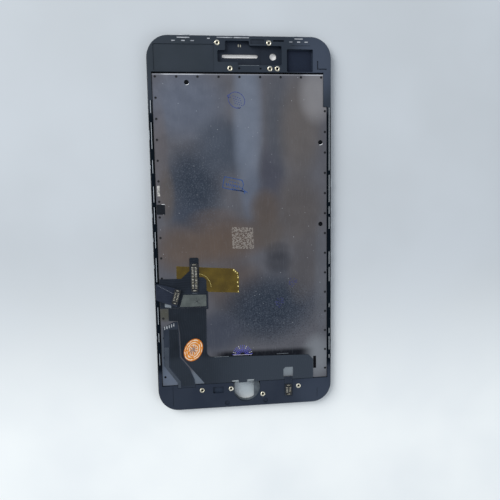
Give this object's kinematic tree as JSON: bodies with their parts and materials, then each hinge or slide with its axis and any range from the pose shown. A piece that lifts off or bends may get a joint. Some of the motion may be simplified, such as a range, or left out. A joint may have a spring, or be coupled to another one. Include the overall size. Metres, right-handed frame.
{
  "type": "phone lcd screen assembly",
  "caption": "Phone display module lying on its glass: cover glass, liquid crystal panel, backlight, moulded frame with rails and threaded inserts, and flexes with plugs on the back.",
  "frame": {"origin": "middle of the outer face of the glass, the lowest face as it lies", "axes": "+Y towards the earpiece end, +X to the right seen from the back, +Z out of the back"},
  "size_m": [0.0746, 0.1538, 0.004],
  "materials": {
    "glass_black": "polished front glass with a black border",
    "clear": "clear optical adhesive",
    "panel": "dark liquid crystal glass",
    "polarizer": "dark grey film",
    "film": "white diffusing film",
    "guide": "clear light guide",
    "white_mould": "white moulded plastic",
    "chip": "bare driver chip",
    "lamp": "yellow lamps",
    "flex_amber": "amber flex strip",
    "steel_plate": "cloudy bright steel",
    "frame_black": "satin black moulded plastic",
    "steel_rail": "stamped steel",
    "brass": "turned brass",
    "gold": "gold plated contacts",
    "gasket": "grey soft rubber",
    "tape": "amber polyimide tape",
    "flex_black": "matt black coverlay",
    "flex_navy": "dark blue black flex",
    "flex_grey": "dark grey coverlay",
    "stiffener": "grey stiffener",
    "socket": "black connector moulding",
    "orange": "orange sticker with pale rings",
    "patch": "black adhesive patch",
    "foil": "silver foil",
    "solder": "tinned contacts"
  },
  "bodies": {
    "root": {"backlight_plate": "steel_plate", "bottom_inserts": "brass", "button_gasket": "gasket", "color_filter_glass": "panel", "contact_row": "solder", "cover_glass": "glass_black", "diffuser_film": "film", "display_connector": "socket", "display_pins": "gold", "driver_chip": "chip", "edge_patch": "patch", "edge_tab": "foil", "flex_cover": "flex_black", "fold_flex": "flex_navy", "frame": "frame_black", "front_polarizer": "polarizer", "home_connector": "socket", "home_flex": "flex_grey", "home_pins": "gold", "kapton_tape": "tape", "led_strip": "flex_amber", "leds": "lamp", "left_rail": "steel_rail", "light_guide": "guide", "main_flex": "flex_black", "mould_frame": "white_mould", "optical_adhesive": "clear", "prism_film_lower": "film", "prism_film_upper": "film", "rear_polarizer": "polarizer", "reflector_film": "film", "right_rail": "steel_rail", "round_sticker": "orange", "second_flex": "flex_grey", "sensor_contacts": "gold", "stiffener": "stiffener", "tft_glass": "panel", "top_clip_left": "steel_rail", "top_clip_mid": "steel_rail", "top_clip_right": "steel_rail", "top_inserts": "brass", "touch_connector": "socket", "touch_pins": "gold", "upper_flex": "flex_black"}
  },
  "joints": []
}
